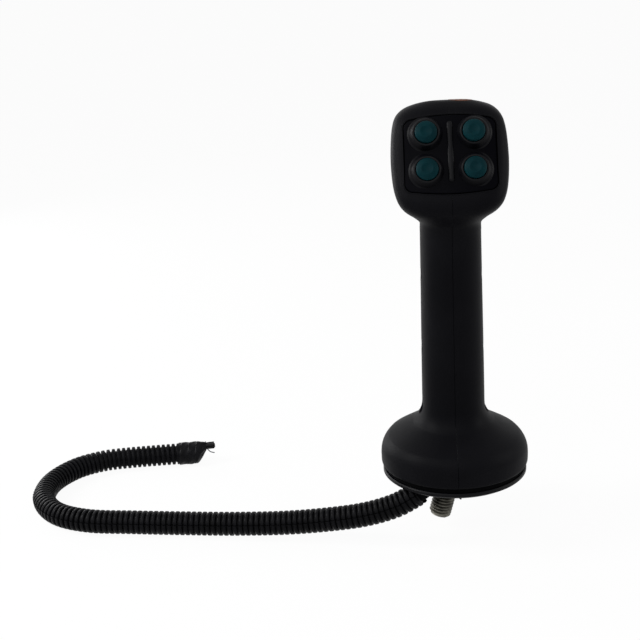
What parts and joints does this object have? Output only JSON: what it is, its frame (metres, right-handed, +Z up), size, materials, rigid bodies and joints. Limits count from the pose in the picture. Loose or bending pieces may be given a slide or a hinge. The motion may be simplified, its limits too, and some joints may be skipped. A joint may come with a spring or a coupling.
{
  "type": "multi-button joystick grip",
  "caption": "Black moulded joystick grip with teal push-buttons on a leaning panel, a flared base on an angled threaded stud, and a taped corrugated conduit.",
  "frame": {"origin": "centre of the stud's seat, where the angled mounting stud leaves the base plate", "axes": "+Z up along the handle, -Y towards the button side, +X to the right seen from the button side"},
  "size_m": [0.2822, 0.1368, 0.2294],
  "materials": {
    "shell_plastic": "matte",
    "panel_plastic": "satin",
    "cap_plastic": "satin",
    "zinc_steel": "satin",
    "spring_steel": "satin",
    "core_metal": "matte",
    "gasket_rubber": "matte",
    "switch_plastic": "matte",
    "board": "satin",
    "copper": "satin",
    "connector_plastic": "satin",
    "conduit_plastic": "satin",
    "tape": "satin",
    "wire_insulation": "satin"
  },
  "bodies": {
    "handle": {"left_shell": "shell_plastic", "right_shell": "shell_plastic", "button_panel": "panel_plastic", "return_spring_upper_left": "spring_steel", "return_spring_upper_right": "spring_steel", "return_spring_lower_left": "spring_steel", "return_spring_lower_right": "spring_steel", "switch_housings": "switch_plastic", "switch_terminals": "copper", "switch_board": "board", "board_screws": "zinc_steel", "board_connector": "connector_plastic", "shell_screws": "zinc_steel", "shell_nuts": "zinc_steel", "clamp_core": "core_metal", "mounting_stud": "zinc_steel", "base_gasket": "gasket_rubber", "base_plate": "shell_plastic", "base_screws": "zinc_steel", "conduit_outlet": "panel_plastic", "wiring_harness": "wire_insulation", "conduit_hose": "conduit_plastic", "end_tape": "tape", "wire_ends": "wire_insulation"},
    "upper_left_button": {"button_cap_upper_left": "cap_plastic"},
    "upper_right_button": {"button_cap_upper_right": "cap_plastic"},
    "lower_left_button": {"button_cap_lower_left": "cap_plastic"},
    "lower_right_button": {"button_cap_lower_right": "cap_plastic"}
  },
  "joints": [
    {"name": "upper_left_press", "type": "slide", "parent": "handle", "child": "upper_left_button", "axis": [0, 0.8988, -0.4384], "range_m": [0, 0.002], "stiffness_N_per_m": 1200, "springref_m": -0.001, "deforming": ["return_spring_upper_left"]},
    {"name": "upper_right_press", "type": "slide", "parent": "handle", "child": "upper_right_button", "axis": [0, 0.8988, -0.4384], "range_m": [0, 0.002], "stiffness_N_per_m": 1200, "springref_m": -0.001, "deforming": ["return_spring_upper_right"]},
    {"name": "lower_left_press", "type": "slide", "parent": "handle", "child": "lower_left_button", "axis": [0, 0.8988, -0.4384], "range_m": [0, 0.002], "stiffness_N_per_m": 1200, "springref_m": -0.001, "deforming": ["return_spring_lower_left"]},
    {"name": "lower_right_press", "type": "slide", "parent": "handle", "child": "lower_right_button", "axis": [0, 0.8988, -0.4384], "range_m": [0, 0.002], "stiffness_N_per_m": 1200, "springref_m": -0.001, "deforming": ["return_spring_lower_right"]}
  ]
}
